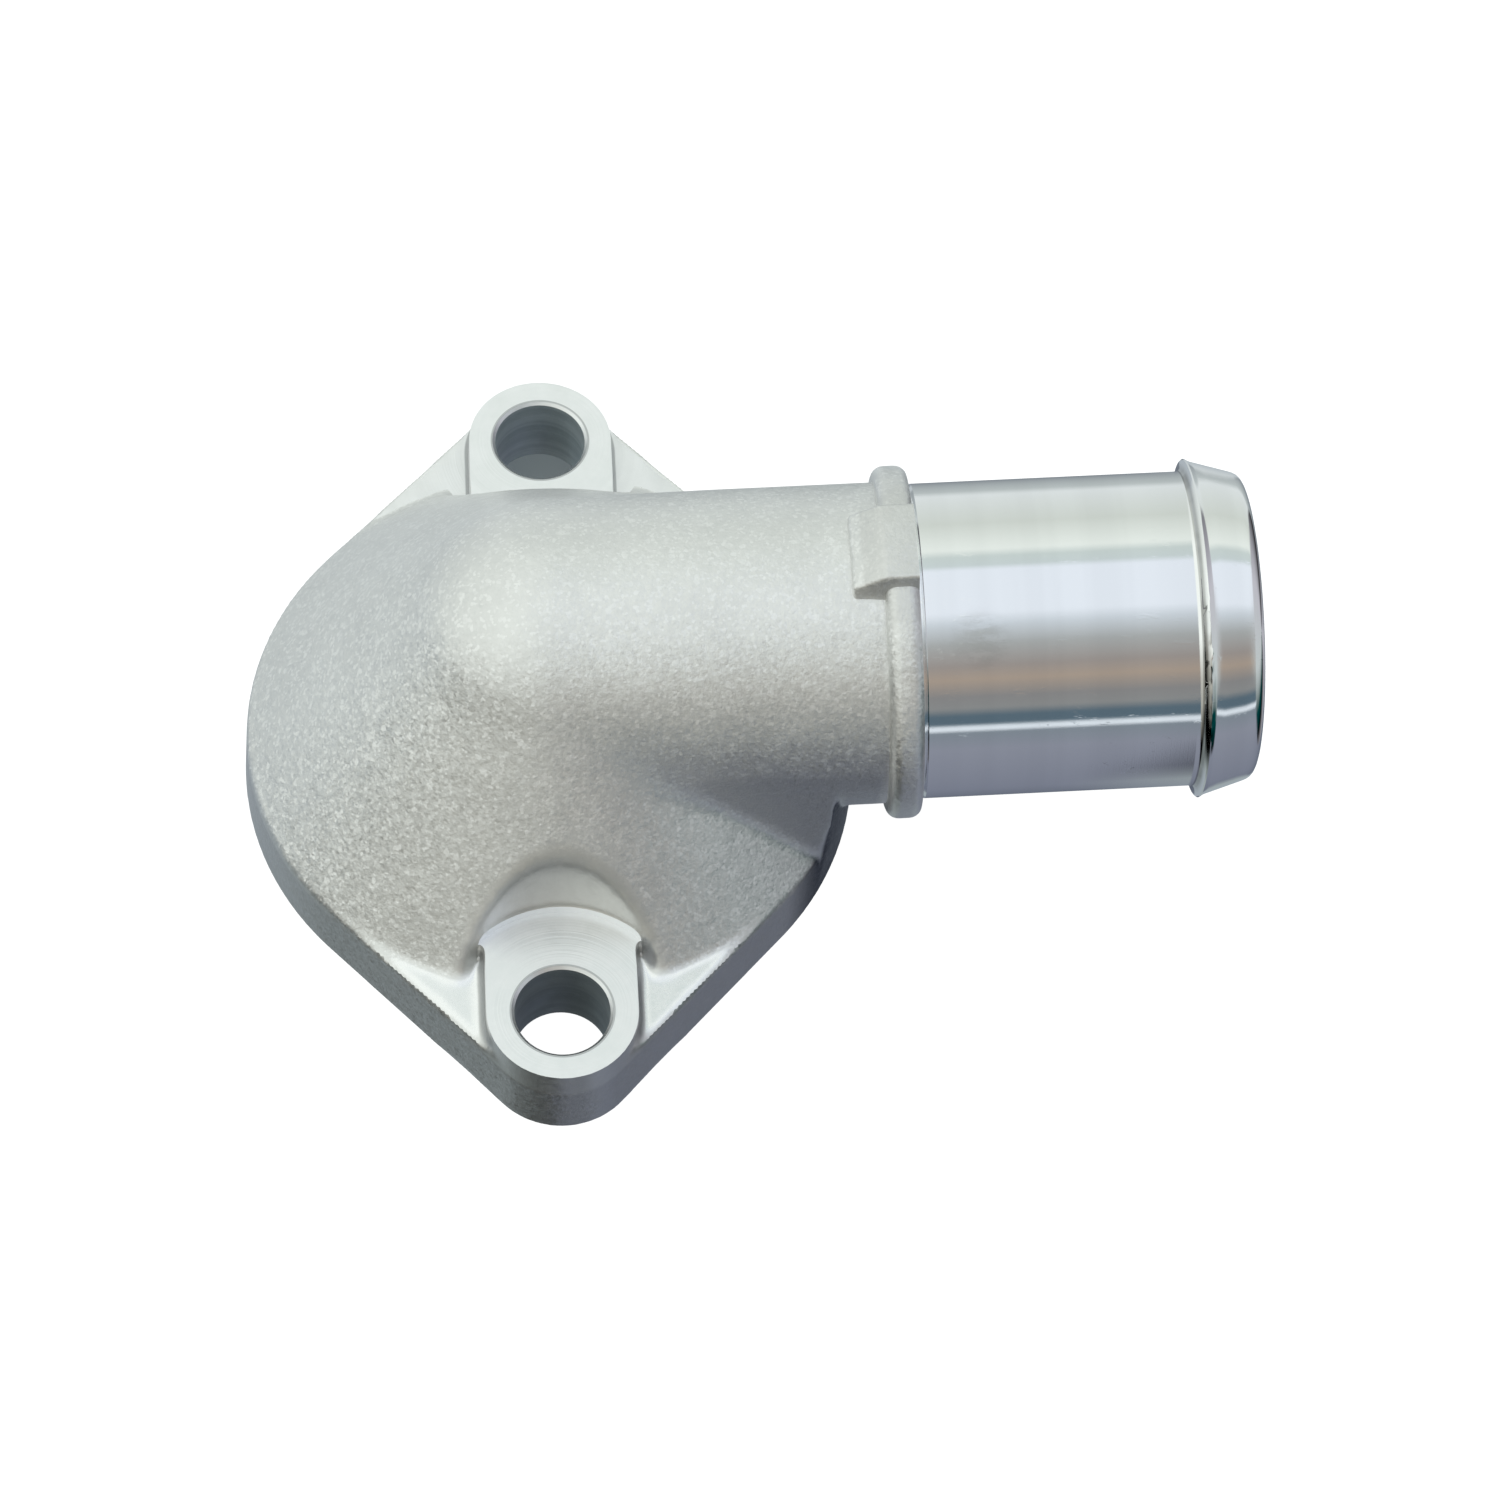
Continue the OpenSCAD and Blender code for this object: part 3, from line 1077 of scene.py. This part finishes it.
@dataclass
class Dome:
    """Conical skirt with two bolt scoops, under the round head of the elbow."""

    axis: Axis
    flange: Flange
    foot_r: float = 29.35
    head_r: float = 15.4
    crease: float = math.radians(7)
    scoop_r: float = 10.4
    scoop_lean: float = math.radians(5)
    wall: float = 4.0
    slope: float = field(init=False)
    top: Point = field(init=False)

    def __post_init__(self) -> None:
        """Works out the skirt's slope and the ring where it meets the head."""
        rise = self.axis.height - self.flange.thick
        graze = self.head_r * math.cos(self.crease)
        self.slope = math.atan2(rise, self.foot_r) + math.asin(graze / math.hypot(self.foot_r, rise))
        self.top = (graze * math.sin(self.slope), self.axis.height + graze * math.cos(self.slope))

    def build(self) -> list[Solid]:
        """Models the skirt with its scoops, and the head.

        Returns:
            The overlapping forms.
        """
        under = 0.1
        skirt = cone("skirt", self.foot_r + under / math.tan(self.slope), self.top[0],
                     self.flange.thick - under, self.top[1])
        for side in SIDES:
            carve(skirt, self.scoop(side, 0.0))
        return [skirt, ball("head", self.head_r, self.axis.height)]

    def scoop(self, side: int, grow: float) -> Solid:
        """Adds the leaning round clearance over one bolt seat.

        Args:
            side: Which ear, -1 or 1.
            grow: How much wider than the scoop itself.

        Returns:
            The new object.
        """
        z0, z1 = self.flange.thick - 1, 30.0
        wide = self.scoop_r + grow
        return cone("scoop", wide, wide + (z1 - z0) * math.tan(self.scoop_lean), z0, z1,
                    (0, side * self.flange.bolt_y))

    def skirt_gap(self, points: np.ndarray) -> np.ndarray:
        """Measures how far points lie outside the skirt's cone.

        Args:
            points: Rows of x, y, z.

        Returns:
            The distances.
        """
        rho = np.hypot(points[:, 0], points[:, 1])
        rise = points[:, 2] - self.flange.thick
        return (rho - self.foot_r) * math.sin(self.slope) + rise * math.cos(self.slope)

    def head_gap(self, points: np.ndarray) -> np.ndarray:
        """Distance of points from the round head, outwards."""
        return np.linalg.norm(points - (0, 0, self.axis.height), axis=1) - self.head_r

    def scoop_gap(self, points: np.ndarray) -> np.ndarray:
        """Distance of points from the nearer scoop's wall, outwards from its bolt."""
        reach = np.hypot(points[:, 0], np.abs(points[:, 1]) - self.flange.bolt_y)
        return reach - self.scoop_r - (points[:, 2] - self.flange.thick + 1) * math.tan(self.scoop_lean)


@dataclass
class Outlet:
    """Cast outlet tube with the web under it, its collar and stop lug."""

    axis: Axis
    flange: Flange
    tube_r: float = 15.3
    collar_x: float = 31.0
    face_x: float = 34.2
    collar_r: float = 16.8
    collar_round: float = 1.2
    lug_half: float = 4.1
    lug_top: float = 17.5
    lug_heel: float = 2.9
    lug_step: float = 0.5
    lug_flare: float = 0.5

    def build(self) -> list[Solid]:
        """Models the tube and the web under it.

        Returns:
            The overlapping forms.
        """
        end = self.face_x - 0.4
        tube = lathe("tube", [(0, 0), (0, self.tube_r), (end, self.tube_r), (end, 0)])
        return [self.axis.place(tube), self._web()]

    def _web(self) -> Solid:
        """Models the upright web that carries the tube: the flange's round drawn up, as wide as the tube.

        Returns:
            The web's form.
        """
        low, top, inner, outer, tall = 1.0, self.axis.height + 0.4, 4.0, 44.0, 40.0
        lean, rim = self.flange.draft, self.flange.middle_r
        web = cone("web", rim - low * lean, rim + 0.6, low, top)
        carve(web, block("width", (inner, -self.tube_r, -tall), (outer, self.tube_r, tall)), Cut.KEEP)
        return web

    def collar(self) -> Solid:
        """Models the rounded collar with its lug.

        Returns:
            The closed form, finished as cast skin.
        """
        rim, turn, end = self.collar_r - self.collar_round, self.collar_round, self.face_x + 0.2
        ring = lathe("collar", [(self.collar_x, 0), *arc((self.collar_x + turn, rim), turn, 180, 90),
                                *arc((end - turn, rim), turn, 90, 0), (end, 0)])
        carve(ring, self._lug(), Cut.ADD)
        return Finish.CAST.put_on(self.axis.place(ring))

    def _lug(self) -> Solid:
        """Models the lug from a block: a heel is drawn out, the sides flare and the edges are rounded.

        Returns:
            The lug's form.
        """
        low, back = 12.0, self.face_x + 0.2
        lug = block("lug", (self.collar_x, -self.lug_half, low), (back, self.lug_half, self.lug_top))
        end = self.collar_x - self.lug_heel
        with editing(lug, Picked.FACES, lambda p: p.x < self.collar_x + 0.1):
            bpy.ops.mesh.extrude_region_move(TRANSFORM_OT_translate={"value": (-self.lug_heel, 0, 0)})
        with editing(lug, Picked.VERTICES, lambda p: p.x < end + 0.1 and p.z > self.lug_top - 0.1):
            bpy.ops.transform.translate(value=(0, 0, self.tube_r + self.lug_step - self.lug_top))
        with editing(lug, Picked.VERTICES, lambda p: p.z < low + 1):
            flare = 1 + 2 * self.lug_flare / self.lug_half
            bpy.ops.transform.resize(value=(1, flare, 1), center_override=(0, 0, 0))
        with editing(lug, Picked.EDGES, lambda p: p.z > self.tube_r + 0.1 or p.x < end + 0.1):
            bpy.ops.mesh.bevel(offset=0.35, segments=3, affect="EDGES")
        return lug

    def tube_gap(self, points: np.ndarray) -> np.ndarray:
        """Distance of points from the skin of the tube and its web, outwards."""
        _, side, up = self.axis.local(points)
        return np.hypot(side, np.maximum(up, 0)) - self.tube_r


@dataclass
class Spigot:
    """Turned hose spigot with a barbed end."""

    axis: Axis
    outlet: Outlet
    radius: float = SIZES["hose_spigot"]["r_mm"]
    length: float = 26.65
    groove: float = 0.25
    lip_h: float = 1.17
    lip_face: float = 0.55
    nose: float = 5.3
    taper: tuple[Point, ...] = ((0.1, 1.12), (0.3, 0.98), (0.5, 0.9), (1.3, 0.66), (2.3, 0.36), (3.3, 0.06),
                                (4.2, -0.21), (4.55, -0.34), (4.82, -0.5), (5.03, -0.72), (5.18, -1.0),
                                (5.27, -1.3), (5.3, -1.6))
    bore_r: float = 11.5
    mouth: float = 0.5

    @property
    def lip_x(self) -> float:
        """Station of the barb's lip."""
        return self.outlet.face_x + self.length

    @property
    def end_x(self) -> float:
        """Station of the end face."""
        return self.lip_x + self.nose

    def build(self) -> Solid:
        """Models the turned outside, with a relief groove at the collar and a burr on the lip.

        Returns:
            The closed spigot, finished as turned metal.
        """
        start, face, r, lip = self.outlet.collar_x + 1, self.outlet.face_x, self.radius, self.lip_x
        profile = [(start, 0), (start, r - self.groove), (face + self.groove, r - self.groove),
                   (face + 2 * self.groove, r), (face + 8, r), (face + 16, r), (face + 24, r),
                   (lip - self.lip_face - 0.6, r), (lip - self.lip_face - 0.25, r),
                   (lip - self.lip_face, r + 0.05),
                   (lip - 0.55 * self.lip_face, r + 0.3), (lip - 0.12, r + self.lip_h - 0.1),
                   (lip, r + self.lip_h),
                   *((lip + run, r + rise) for run, rise in self.taper), (self.end_x, 0)]
        spigot = lathe("spigot", profile, 192)
        with editing(spigot, Picked.VERTICES, lambda p: abs(p.x - lip) < 0.13 and p.y < 0 and 4 < p.z < 15):
            bpy.ops.transform.vertex_random(offset=0.07, uniform=0.0, normal=0.0, seed=7)
        return Finish.TURNED.put_on(self.axis.place(spigot))

    def bore(self) -> Solid:
        """Models the tool that bores the spigot and bevels its mouth.

        Returns:
            The closed tool, finished as turned metal.
        """
        past = 1.0
        tool = lathe("bore", [(20, 0), (20, self.bore_r), (self.end_x - self.mouth, self.bore_r),
                              (self.end_x + past, self.bore_r + self.mouth + past), (self.end_x + past, 0)])
        return Finish.TURNED.put_on(self.axis.place(tool))


@dataclass
class Chamber:
    """Cored chamber with the thermostat's recess below."""

    dome: Dome
    spigot: Spigot
    throat_r: float = 22.5
    recess_r: float = SIZES["thermostat_recess"]["r_mm"]
    recess_h: float = SIZES["thermostat_recess"]["length_mm"]
    core_voxel: float = 0.8

    def core(self) -> Solid:
        """Models the sand core: throat, leaning roof, round end and passage, softened at its corners.

        Returns:
            The closed tool, finished as chamber skin.
        """
        dome, past = self.dome, 4.0
        graze = dome.head_r * math.cos(dome.crease) - dome.wall
        roof = (graze * math.sin(dome.slope), dome.axis.height + graze * math.cos(dome.slope))
        throat_top = roof[1] - (self.throat_r - roof[0]) * math.tan(dome.slope)
        throat = cone("throat", self.throat_r, self.throat_r, -past, throat_top)
        cap = cone("roof", self.throat_r, roof[0], throat_top - 0.001, roof[1])
        carve(throat, cap, Cut.ADD)
        for side in SIDES:
            carve(throat, dome.scoop(side, dome.wall))
            wide = dome.scoop_r + dome.wall
            low = cone("low", wide - 0.6, wide, -past - 1, dome.flange.thick, (0, side * dome.flange.bolt_y))
            carve(throat, low)
        end = ball("end", self.spigot.bore_r + 0.1, dome.axis.height)
        passage = lathe("passage", [(0, 0), (0, self.spigot.bore_r), (30, self.spigot.bore_r), (30, 0)])
        core = joined("core", [throat, end, dome.axis.place(passage)])
        modify(core, "REMESH", mode="VOXEL", voxel_size=self.core_voxel)
        modify(core, "SMOOTH", factor=0.5, iterations=8)
        return Finish.CHAMBER.put_on(core)

    def recess(self) -> Solid:
        """Models the cutter of the thermostat's recess."""
        return Finish.MILLED.put_on(cone("recess", self.recess_r, self.recess_r, -2, self.recess_h))


@dataclass
class Machining:
    """The cuts that are made on the raw casting."""

    flange: Flange
    outlet: Outlet
    spot_r: float = 10.55
    spot_clear: float = 2.6
    dome_r: float = 29.75
    ear_r: float = 10.3
    press: float = 0.06
    press_x: float = 16.5
    corner: float = 1.2
    bevel: float = 0.28
    past: float = 3.0
    table: float = 120.0

    def mounting_face(self) -> Solid:
        """Models the block that is milled off below the mounting face.

        Returns:
            The closed tool, finished as milled metal.
        """
        half = self.table / 2
        table = block("table", (-half, -half, -self.table), (half, half, 0))
        with editing(table):
            bpy.ops.mesh.subdivide(number_cuts=39)
        return Finish.MILLED.put_on(table)

    def shoulders(self) -> Solid:
        """Models the shape that is pressed flat beside the seats, outside the dome's foot.

        Returns:
            The closed tool, finished as bright smooth skin.
        """
        f, low, high = self.flange, self.flange.thick - self.press, self.flange.seat_h + 0.3
        half = self.table / 2
        tool = block("press", (-self.press_x, -half, low), (self.press_x, half, high))
        carve(tool, cone("dome", self.dome_r, self.dome_r, low - 1, high + 1))
        for side in SIDES:
            carve(tool, cone("ear", self.ear_r, self.ear_r, low, high, (0, side * f.bolt_y)), Cut.ADD)
        corner_y = (self.dome_r**2 + f.bolt_y**2 - self.ear_r**2) / (2 * f.bolt_y)
        corner = Vector((math.sqrt(self.dome_r**2 - corner_y**2), corner_y, 0))
        with editing(tool, Picked.EDGES, lambda p: (Vector((abs(p.x), abs(p.y), 0)) - corner).length < 0.1):
            bpy.ops.mesh.bevel(offset=self.corner, segments=5, affect="EDGES")
        for side in SIDES:
            carve(tool, f.seat(side))
        return Finish.SHOULDER.put_on(tool)

    def spot_faces(self) -> Solid:
        """Models the spot facers of both bolt seats."""
        top = self.flange.seat_h
        return Finish.MILLED.put_on(self._pair("spot", self.spot_r, self.spot_r, top, top + self.spot_clear))

    def bolt_holes(self) -> Solid:
        """Models the drills of both bolt holes."""
        r, top = self.flange.hole_r, self.flange.seat_h
        return Finish.DRILLED.put_on(self._pair("drill", r, r, -self.past, top + self.past))

    def countersinks(self) -> Solid:
        """Models the tools that break the upper edges of the bolt holes.

        Returns:
            The closed tools, finished as milled metal.
        """
        wide, top, under = self.flange.hole_r + self.bevel, self.flange.seat_h, self.bevel + 0.6
        tools = self._pair("sink", wide - under, wide + self.past, top - under, top + self.past)
        return Finish.MILLED.put_on(tools)

    def collar_face(self) -> Solid:
        """Models the block that is turned off the collar's face.

        Returns:
            The closed tool, finished as turned metal.
        """
        face, half = self.outlet.face_x, self.table / 2
        facing = block("facing", (face, -half, -half), (face + self.table, half, half))
        return Finish.TURNED.put_on(self.outlet.axis.place(facing))

    def _pair(self, name: str, low_r: float, high_r: float, z0: float, z1: float) -> Solid:
        """Adds the same round tool over both bolts."""
        places = [(0, side * self.flange.bolt_y) for side in SIDES]
        return joined(name + "s", [cone(name, low_r, high_r, z0, z1, at) for at in places])


@dataclass
class Housing:
    """The whole housing: one casting, machined all over where it seals or is clamped."""

    axis: Axis = field(default_factory=Axis)
    voxel: float = 0.4
    valley: float = 4.0
    valley_rounds: int = 42
    rim: float = 2.4
    rim_rounds: int = 16
    brow: float = 6.6
    brow_rounds: int = 110
    crease: float = math.radians(32)

    def __post_init__(self) -> None:
        """Sets up the sub-assemblies on the shared axis."""
        self.flange = Flange()
        self.dome = Dome(self.axis, self.flange)
        self.outlet = Outlet(self.axis, self.flange)
        self.spigot = Spigot(self.axis, self.outlet)
        self.chamber = Chamber(self.dome, self.spigot)
        self.machining = Machining(self.flange, self.outlet)

    def cast(self) -> Solid:
        """Fuses the forms into one raw casting and softens it.

        Returns:
            The raw casting.
        """
        casting = joined("casting", [*self.flange.build(), *self.dome.build(), *self.outlet.build()])
        modify(casting, "REMESH", mode="VOXEL", voxel_size=self.voxel, use_smooth_shade=True)
        Finish.CAST.put_on(casting)
        modify(casting, "SMOOTH", factor=0.5, iterations=3)
        points = coordinates(casting)
        gaps = (self.dome.skirt_gap, self.dome.scoop_gap, self.dome.head_gap, self.outlet.tube_gap)
        skirt, scoop, head, tube = (gap(points) for gap in gaps)
        beside, rise = points[:, 0] > 2, points[:, 2] - self.flange.thick
        lifted, above = np.clip((rise - 0.1) / 1.2, 0, 1), np.clip((rise - 0.5) / 2, 0, 1)
        soften(casting, near(self.valley, tube, skirt) * lifted * beside, self.valley_rounds)
        soften(casting, near(self.rim, scoop, skirt), self.rim_rounds)
        soften(casting, near(self.brow, head, skirt) * above, self.brow_rounds)
        log.info("raw casting: %d faces", len(casting.data.polygons))
        return casting

    def machine(self, casting: Solid) -> None:
        """Cuts the seats, holes, faces, chamber and spigot.

        Args:
            casting: The raw casting.
        """
        work = self.machining
        carve(casting, self.outlet.collar(), Cut.ADD)
        for tool in (work.mounting_face, work.shoulders, work.spot_faces, work.bolt_holes, work.countersinks,
                     work.collar_face):
            carve(casting, tool())
        carve(casting, self.spigot.build(), Cut.ADD)
        for tool in (self.chamber.core, self.chamber.recess, self.spigot.bore):
            carve(casting, tool())
        repair(casting)

    def dress(self, casting: Solid) -> Solid:
        """Scales the part to metres, shades it and ties it to the frame.

        Args:
            casting: The machined casting.

        Returns:
            The finished piece.
        """
        with editing(casting):
            bpy.ops.transform.resize(value=(METRES_PER_MM,) * 3, center_override=(0, 0, 0))
        casting.name = casting.data.name = "housing_casting"
        select_only(casting)
        bpy.ops.object.shade_smooth_by_angle(angle=self.crease)
        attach(casting, BODY)
        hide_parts(NODE)
        return casting

    def build(self) -> Solid:
        """Casts, machines and dresses the housing.

        Returns:
            The finished piece.
        """
        casting = self.cast()
        self.machine(casting)
        return self.dress(casting)


# Studio


@dataclass(frozen=True)
class Band:
    """One stop of the studio's surround: an angle about the spigot's direction, and the light from there."""

    angle: float
    light: Colour


@dataclass
class Studio:
    """White floor, a soft surround that lights the part, and the camera."""

    azimuth: float = -8.175
    elevation: float = 58.495
    roll: float = -5.798
    shift: Point = (-20.351, -0.583)
    distance: float = 463.274
    focal_px: float = 4700.0
    image_px: float = 1512.0
    sensor: float = 36.0
    floor_size: float = 3.0
    floor_drop: float = 0.0002
    floor_tone: Colour = (0.3, 0.3, 0.3)
    floor_glow: float = 0.95
    hole_edge: Point = (0.006, 0.008)
    hole_shade: Colour = (0.045, 0.06, 0.068)
    first_angle: float = -120.0
    strips: tuple[Point, ...] = ((-0.03, 0), (0.015, 1), (0.22, 1), (0.28, 0), (0.42, 0), (0.48, 1))
    right_edge: Point = (0.64, 0.70)
    mirror: tuple[Band, ...] = (
        Band(-120, (0.12, 0.14, 0.18)), Band(-85, (0.20, 0.22, 0.28)), Band(-30, (0.26, 0.28, 0.34)),
        Band(-14.5, (0.22, 0.26, 0.30)), Band(-12, (0.75, 0.82, 0.88)), Band(-9.5, (0.75, 0.82, 0.88)),
        Band(-7, (0.10, 0.15, 0.19)), Band(0, (0.10, 0.15, 0.19)), Band(6, (0.26, 0.27, 0.27)),
        Band(15, (0.25, 0.25, 0.25)), Band(28, (0.40, 0.33, 0.27)), Band(38, (0.33, 0.30, 0.28)),
        Band(54, (0.40, 0.42, 0.42)), Band(68, (0.62, 0.68, 0.73)), Band(76, (0.82, 0.88, 0.95)),
        Band(108, (0.82, 0.88, 0.95)), Band(112, (0.60, 0.68, 0.68)), Band(119, (0.60, 0.68, 0.66)),
        Band(125, (0.84, 0.90, 0.85)), Band(150, (0.65, 0.70, 0.65)), Band(186, (0.75, 0.80, 0.80)),
        Band(194, (0.50, 0.55, 0.55)), Band(240, (0.12, 0.14, 0.18)),
    )
    left: tuple[Band, ...] = (
        Band(-120, (0.35, 0.40, 0.45)), Band(-85, (0.35, 0.40, 0.40)), Band(-60, (0.00, 0.00, 0.00)),
        Band(-35, (0.00, 0.00, 0.00)), Band(0, (0.45, 0.45, 0.40)), Band(20, (0.55, 0.55, 0.50)),
        Band(50, (1.00, 1.05, 1.00)), Band(120, (1.00, 1.05, 1.00)), Band(140, (0.85, 0.90, 0.85)),
        Band(200, (0.70, 0.75, 0.75)), Band(240, (0.35, 0.40, 0.45)),
    )
    right: tuple[Band, ...] = (
        Band(-120, (0.50, 0.50, 0.55)), Band(-60, (0.00, 0.00, 0.00)), Band(-25, (0.00, 0.05, 0.05)),
        Band(0, (0.35, 0.40, 0.40)), Band(20, (0.55, 0.60, 0.60)), Band(100, (0.55, 0.55, 0.60)),
        Band(205, (0.00, 0.00, 0.00)), Band(240, (0.50, 0.50, 0.55)),
    )

    def floor(self) -> None:
        """Lays the white floor with a painted shadow under the far bolt hole; the part's metal doesn't mirror
        the floor.
        """
        bpy.ops.mesh.primitive_plane_add(size=self.floor_size, location=(0, 0, -self.floor_drop))
        floor = settle(newest("floor"))
        with editing(floor):
            bpy.ops.mesh.subdivide(number_cuts=3)
        shop = Shop("white_floor")
        n = shop.nodes
        from_hole = n.vector("DISTANCE", shop.place, (0, HOLE_Y * METRES_PER_MM, 0))
        shade = n.mix(n.ramp(from_hole, *self.hole_edge), self.hole_shade, (1, 1, 1))
        seen = n.less(1.0, n.add("NewGeometry").outputs["Backfacing"])
        looks = {"Base Color": (*self.floor_tone, 1), "Roughness": 1.0, "Specular IOR Level": 0.0,
                 "Emission Color": shade, "Emission Strength": self.floor_glow, "Alpha": seen}
        for name, source in looks.items():
            n.feed(shop.metal, name, source)
        floor.data.materials.append(shop.material)
        floor.visible_glossy = False
        floor.visible_diffuse = False

    def surround(self) -> None:
        """Lights the part by a soft surround, whose light follows the angle about the spigot's direction."""
        world = bpy.data.worlds.new("studio")
        bpy.context.scene.world = world
        world.use_nodes = True
        n = Nodes(world.node_tree)
        x, y, z = n.split(n.add("TexCoord").outputs["Generated"])
        angle = n.math("ARCTAN2", z, n.product(y, -1.0))
        turn = n.math("DIVIDE", n.less(angle, math.radians(self.first_angle)), 2 * math.pi)
        turn = n.math("FRACT", turn)
        mirror, left, right = (
            n.bands(turn, [((band.angle - self.first_angle) / 360, band.light) for band in bands])
            for bands in (self.mirror, self.left, self.right))
        stops = [((place + 1) / 2, (share,) * 3) for place, share in self.strips]
        strips = n.bands(n.ramp(x, -1.0, 1.0), stops)
        light = n.mix(n.ramp(x, *self.right_edge), n.mix(strips, left, mirror), right)
        seen = world.node_tree.nodes["Background"]
        n.feed(seen, "Color", light)
        white = n.add("Background", {"Color": (1, 1, 1, 1)})
        camera_ray = n.add("LightPath").outputs["Is Camera Ray"]
        both = n.add("MixShader", {0: camera_ray, 1: seen.outputs[0], 2: white.outputs[0]})
        world.node_tree.links.new(both.outputs[0], world.node_tree.nodes["World Output"].inputs["Surface"])

    def camera(self) -> None:
        """Sets the camera at the photograph's angle."""
        a, e, r = (math.radians(v) for v in (self.azimuth, self.elevation, self.roll))
        back = Vector((math.sin(a) * math.cos(e), -math.cos(a) * math.cos(e), math.sin(e)))
        level = Vector((math.cos(a), math.sin(a), 0))
        upright = back.cross(level)
        right = math.cos(r) * level - math.sin(r) * upright
        up = math.sin(r) * level + math.cos(r) * upright
        place = (back * self.distance - right * self.shift[0] - up * self.shift[1]) * METRES_PER_MM
        data = bpy.data.cameras.new("camera")
        data.sensor_fit = "HORIZONTAL"
        data.sensor_width = self.sensor
        data.lens = self.focal_px / self.image_px * self.sensor
        data.clip_start, data.clip_end = 0.01, 10.0
        camera = bpy.data.objects.new("camera", data)
        camera.matrix_world = Matrix((right, up, back)).transposed().to_4x4()
        camera.location = place
        bpy.context.scene.collection.objects.link(camera)
        bpy.context.scene.camera = camera

    def build(self) -> None:
        """Sets up the floor, the light, the camera and plain display colours."""
        self.floor()
        self.surround()
        self.camera()
        bpy.context.scene.view_settings.view_transform = "Standard"
        bpy.context.scene.view_settings.look = "None"


def main() -> None:
    """Builds the studio and the housing, and reports each piece."""
    logging.basicConfig(level=logging.INFO, format="%(name)s: %(message)s")
    GROUPS.update(blasted_grain=blasted_grain(), tool_marks=tool_marks())
    Studio().build()
    piece = Housing().build()
    triangles = sum(len(face.vertices) - 2 for face in piece.data.polygons)
    log.info("%s: %d triangles, finishes %s", piece.name, triangles, [m.name for m in piece.data.materials])


if __name__ == "__main__":
    main()
